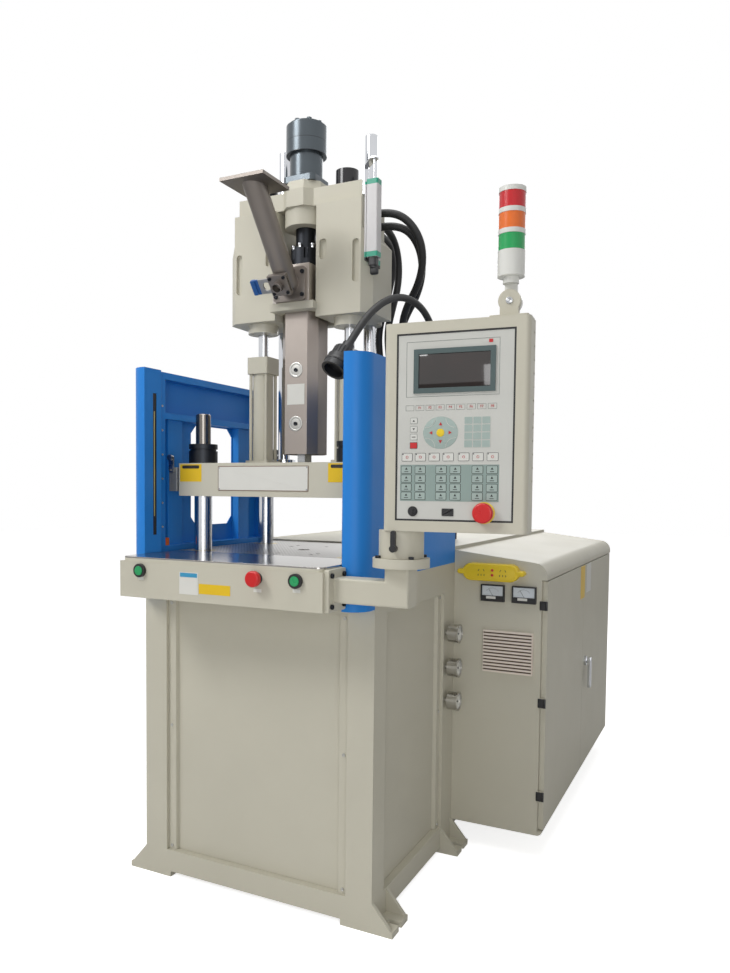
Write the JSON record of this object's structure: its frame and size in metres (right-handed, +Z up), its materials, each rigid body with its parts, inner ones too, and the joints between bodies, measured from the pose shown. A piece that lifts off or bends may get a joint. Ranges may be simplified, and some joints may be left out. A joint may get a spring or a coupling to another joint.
{
  "type": "vertical injection moulding machine",
  "caption": "Vertical injection moulding machine: pull-down clamp with tie bars over a cabinet base, upright screw unit, side guards, swivel console, power and oil cabinets behind.",
  "frame": {"origin": "on the floor, midway between the four anchor slots of the base", "axes": "+X to the machine's right, +Y to its back, +Z up"},
  "size_m": [1.1987, 2.1, 2.209],
  "materials": {
    "cream_paint": "orange-peel enamel",
    "blue_paint": "orange-peel enamel",
    "ground_steel": "ground",
    "dark_steel": "blackened",
    "stainless": "brushed",
    "hard_chrome": "polished",
    "bronze": "turned",
    "grey_aluminium": "satin",
    "black_rubber": "satin",
    "black_plastic": "fine grain",
    "panel_film": "matt film",
    "red_plastic": "gloss",
    "green_plastic": "gloss",
    "yellow_plastic": "gloss"
  },
  "bodies": {
    "frame": {"base_frame": "cream_paint", "base_panels": "cream_paint", "front_beam": "cream_paint", "table_plate": "ground_steel", "guide_bushes": "bronze", "clamp_cylinder": "cream_paint", "rear_housing": "cream_paint", "oil_tank": "cream_paint", "pump_unit": "grey_aluminium", "valve_manifold": "ground_steel", "electrical_cabinet": "cream_paint", "gear_plate": "ground_steel", "vent_grille": "cream_paint", "panel_meters": "black_plastic", "socket_strip": "yellow_plastic", "pressure_gauges": "stainless", "guard_posts": "blue_paint", "light_curtains": "black_plastic", "guard_frame": "blue_paint", "side_guard": "blue_paint", "guard_switches": "grey_aluminium", "control_arm": "cream_paint", "button_collars": "black_plastic", "heater_cable": "black_rubber", "heater_plug": "black_plastic", "lower_hoses": "black_rubber"},
    "clamp": {"tie_bars": "hard_chrome", "lock_nuts": "dark_steel", "moving_platen": "cream_paint", "lower_crosshead": "cream_paint", "clamp_piston": "hard_chrome", "carriage_cylinders": "cream_paint", "guide_rods": "hard_chrome", "upper_hoses": "black_rubber"},
    "carriage": {"injection_casting": "cream_paint", "carriage_rods": "hard_chrome", "throat_block": "ground_steel", "barrel": "ground_steel", "nozzle": "ground_steel", "barrel_cover": "stainless", "feed_chute": "ground_steel", "position_sensor": "grey_aluminium"},
    "injection": {"injection_crosshead": "cream_paint", "hydraulic_motor": "dark_steel", "injection_rods": "hard_chrome"},
    "screw": {"plasticising_screw": "dark_steel"},
    "gate": {"slide_gate": "blue_paint"},
    "console": {"control_box": "cream_paint", "control_panel": "panel_film"},
    "key": {"key_switch": "black_plastic"},
    "panel_stop": {"panel_stop_button": "red_plastic"},
    "lever": {"clamp_lever": "black_plastic"},
    "light": {"stack_light": "red_plastic"},
    "beam_stop": {"beam_stop_button": "red_plastic"},
    "start_left": {"start_button_left": "green_plastic"},
    "start_right": {"start_button_right": "green_plastic"},
    "door_front": {"cabinet_door_front": "cream_paint"},
    "door_rear": {"cabinet_door_rear": "cream_paint"},
    "handle": {"door_handle": "hard_chrome"},
    "switch_arm": {"switch_lever": "ground_steel"}
  },
  "joints": [
    {"name": "clamp_slide", "type": "slide", "parent": "frame", "child": "clamp", "axis": [0, 0, 1], "range_m": [0, 0.2], "deforming": ["lower_hoses"]},
    {"name": "carriage_slide", "type": "slide", "parent": "clamp", "child": "carriage", "axis": [0, 0, 1], "range_m": [0, 0.1], "deforming": ["upper_hoses"]},
    {"name": "injection_slide", "type": "slide", "parent": "carriage", "child": "injection", "axis": [0, 0, 1], "range_m": [0, 0.12]},
    {"name": "screw_spin", "type": "hinge", "parent": "injection", "child": "screw", "pos_m": [0, -0.022, 1.8], "axis": [0, 0, 1], "continuous": true},
    {"name": "gate_slide", "type": "slide", "parent": "carriage", "child": "gate", "axis": [1, 0, 0], "range_m": [0, 0.042]},
    {"name": "console_swivel", "type": "hinge", "parent": "frame", "child": "console", "pos_m": [0.48, -0.42, 1], "axis": [0, 0, 1], "range_deg": [-90, 60]},
    {"name": "key_turn", "type": "hinge", "parent": "console", "child": "key", "pos_m": [0.52663, -0.47113, 1.087], "axis": [-0.0872, 0.9962, 0], "range_deg": [0, 90]},
    {"name": "panel_stop_push", "type": "slide", "parent": "console", "child": "panel_stop", "axis": [-0.0872, 0.9962, 0], "range_m": [0, 0.005], "stiffness_N_per_m": 1500, "springref_m": -0.002},
    {"name": "lever_turn", "type": "hinge", "parent": "console", "child": "lever", "pos_m": [0.48453, -0.4718, 1.0023], "axis": [0.0872, -0.9962, 0], "range_deg": [-60, 60]},
    {"name": "light_fold", "type": "hinge", "parent": "console", "child": "light", "pos_m": [0.72239, -0.41385, 1.539], "axis": [0.0872, -0.9962, 0], "range_deg": [0, 90]},
    {"name": "beam_stop_push", "type": "slide", "parent": "frame", "child": "beam_stop", "axis": [0, 1, 0], "range_m": [0, 0.005], "stiffness_N_per_m": 1500, "springref_m": -0.002},
    {"name": "start_left_push", "type": "slide", "parent": "frame", "child": "start_left", "axis": [0, 1, 0], "range_m": [0, 0.004], "stiffness_N_per_m": 900, "springref_m": -0.002},
    {"name": "start_right_push", "type": "slide", "parent": "frame", "child": "start_right", "axis": [0, 1, 0], "range_m": [0, 0.004], "stiffness_N_per_m": 900, "springref_m": -0.002},
    {"name": "front_door_hinge", "type": "hinge", "parent": "frame", "child": "door_front", "pos_m": [0.651, 0.316, 0.485], "axis": [0, 0, 1], "range_deg": [-110, 0]},
    {"name": "rear_door_hinge", "type": "hinge", "parent": "frame", "child": "door_rear", "pos_m": [0.651, 1.584, 0.485], "axis": [0, 0, 1], "range_deg": [0, 110]},
    {"name": "handle_turn", "type": "hinge", "parent": "door_rear", "child": "handle", "pos_m": [0.651, 0.995, 0.49], "axis": [1, 0, 0], "range_deg": [0, 90]},
    {"name": "switch_arm_swing", "type": "hinge", "parent": "frame", "child": "switch_arm", "pos_m": [-0.323, -0.245, 1.186], "axis": [0, 1, 0], "range_deg": [-45, 45], "stiffness_Nm_per_rad": 0.3}
  ]
}
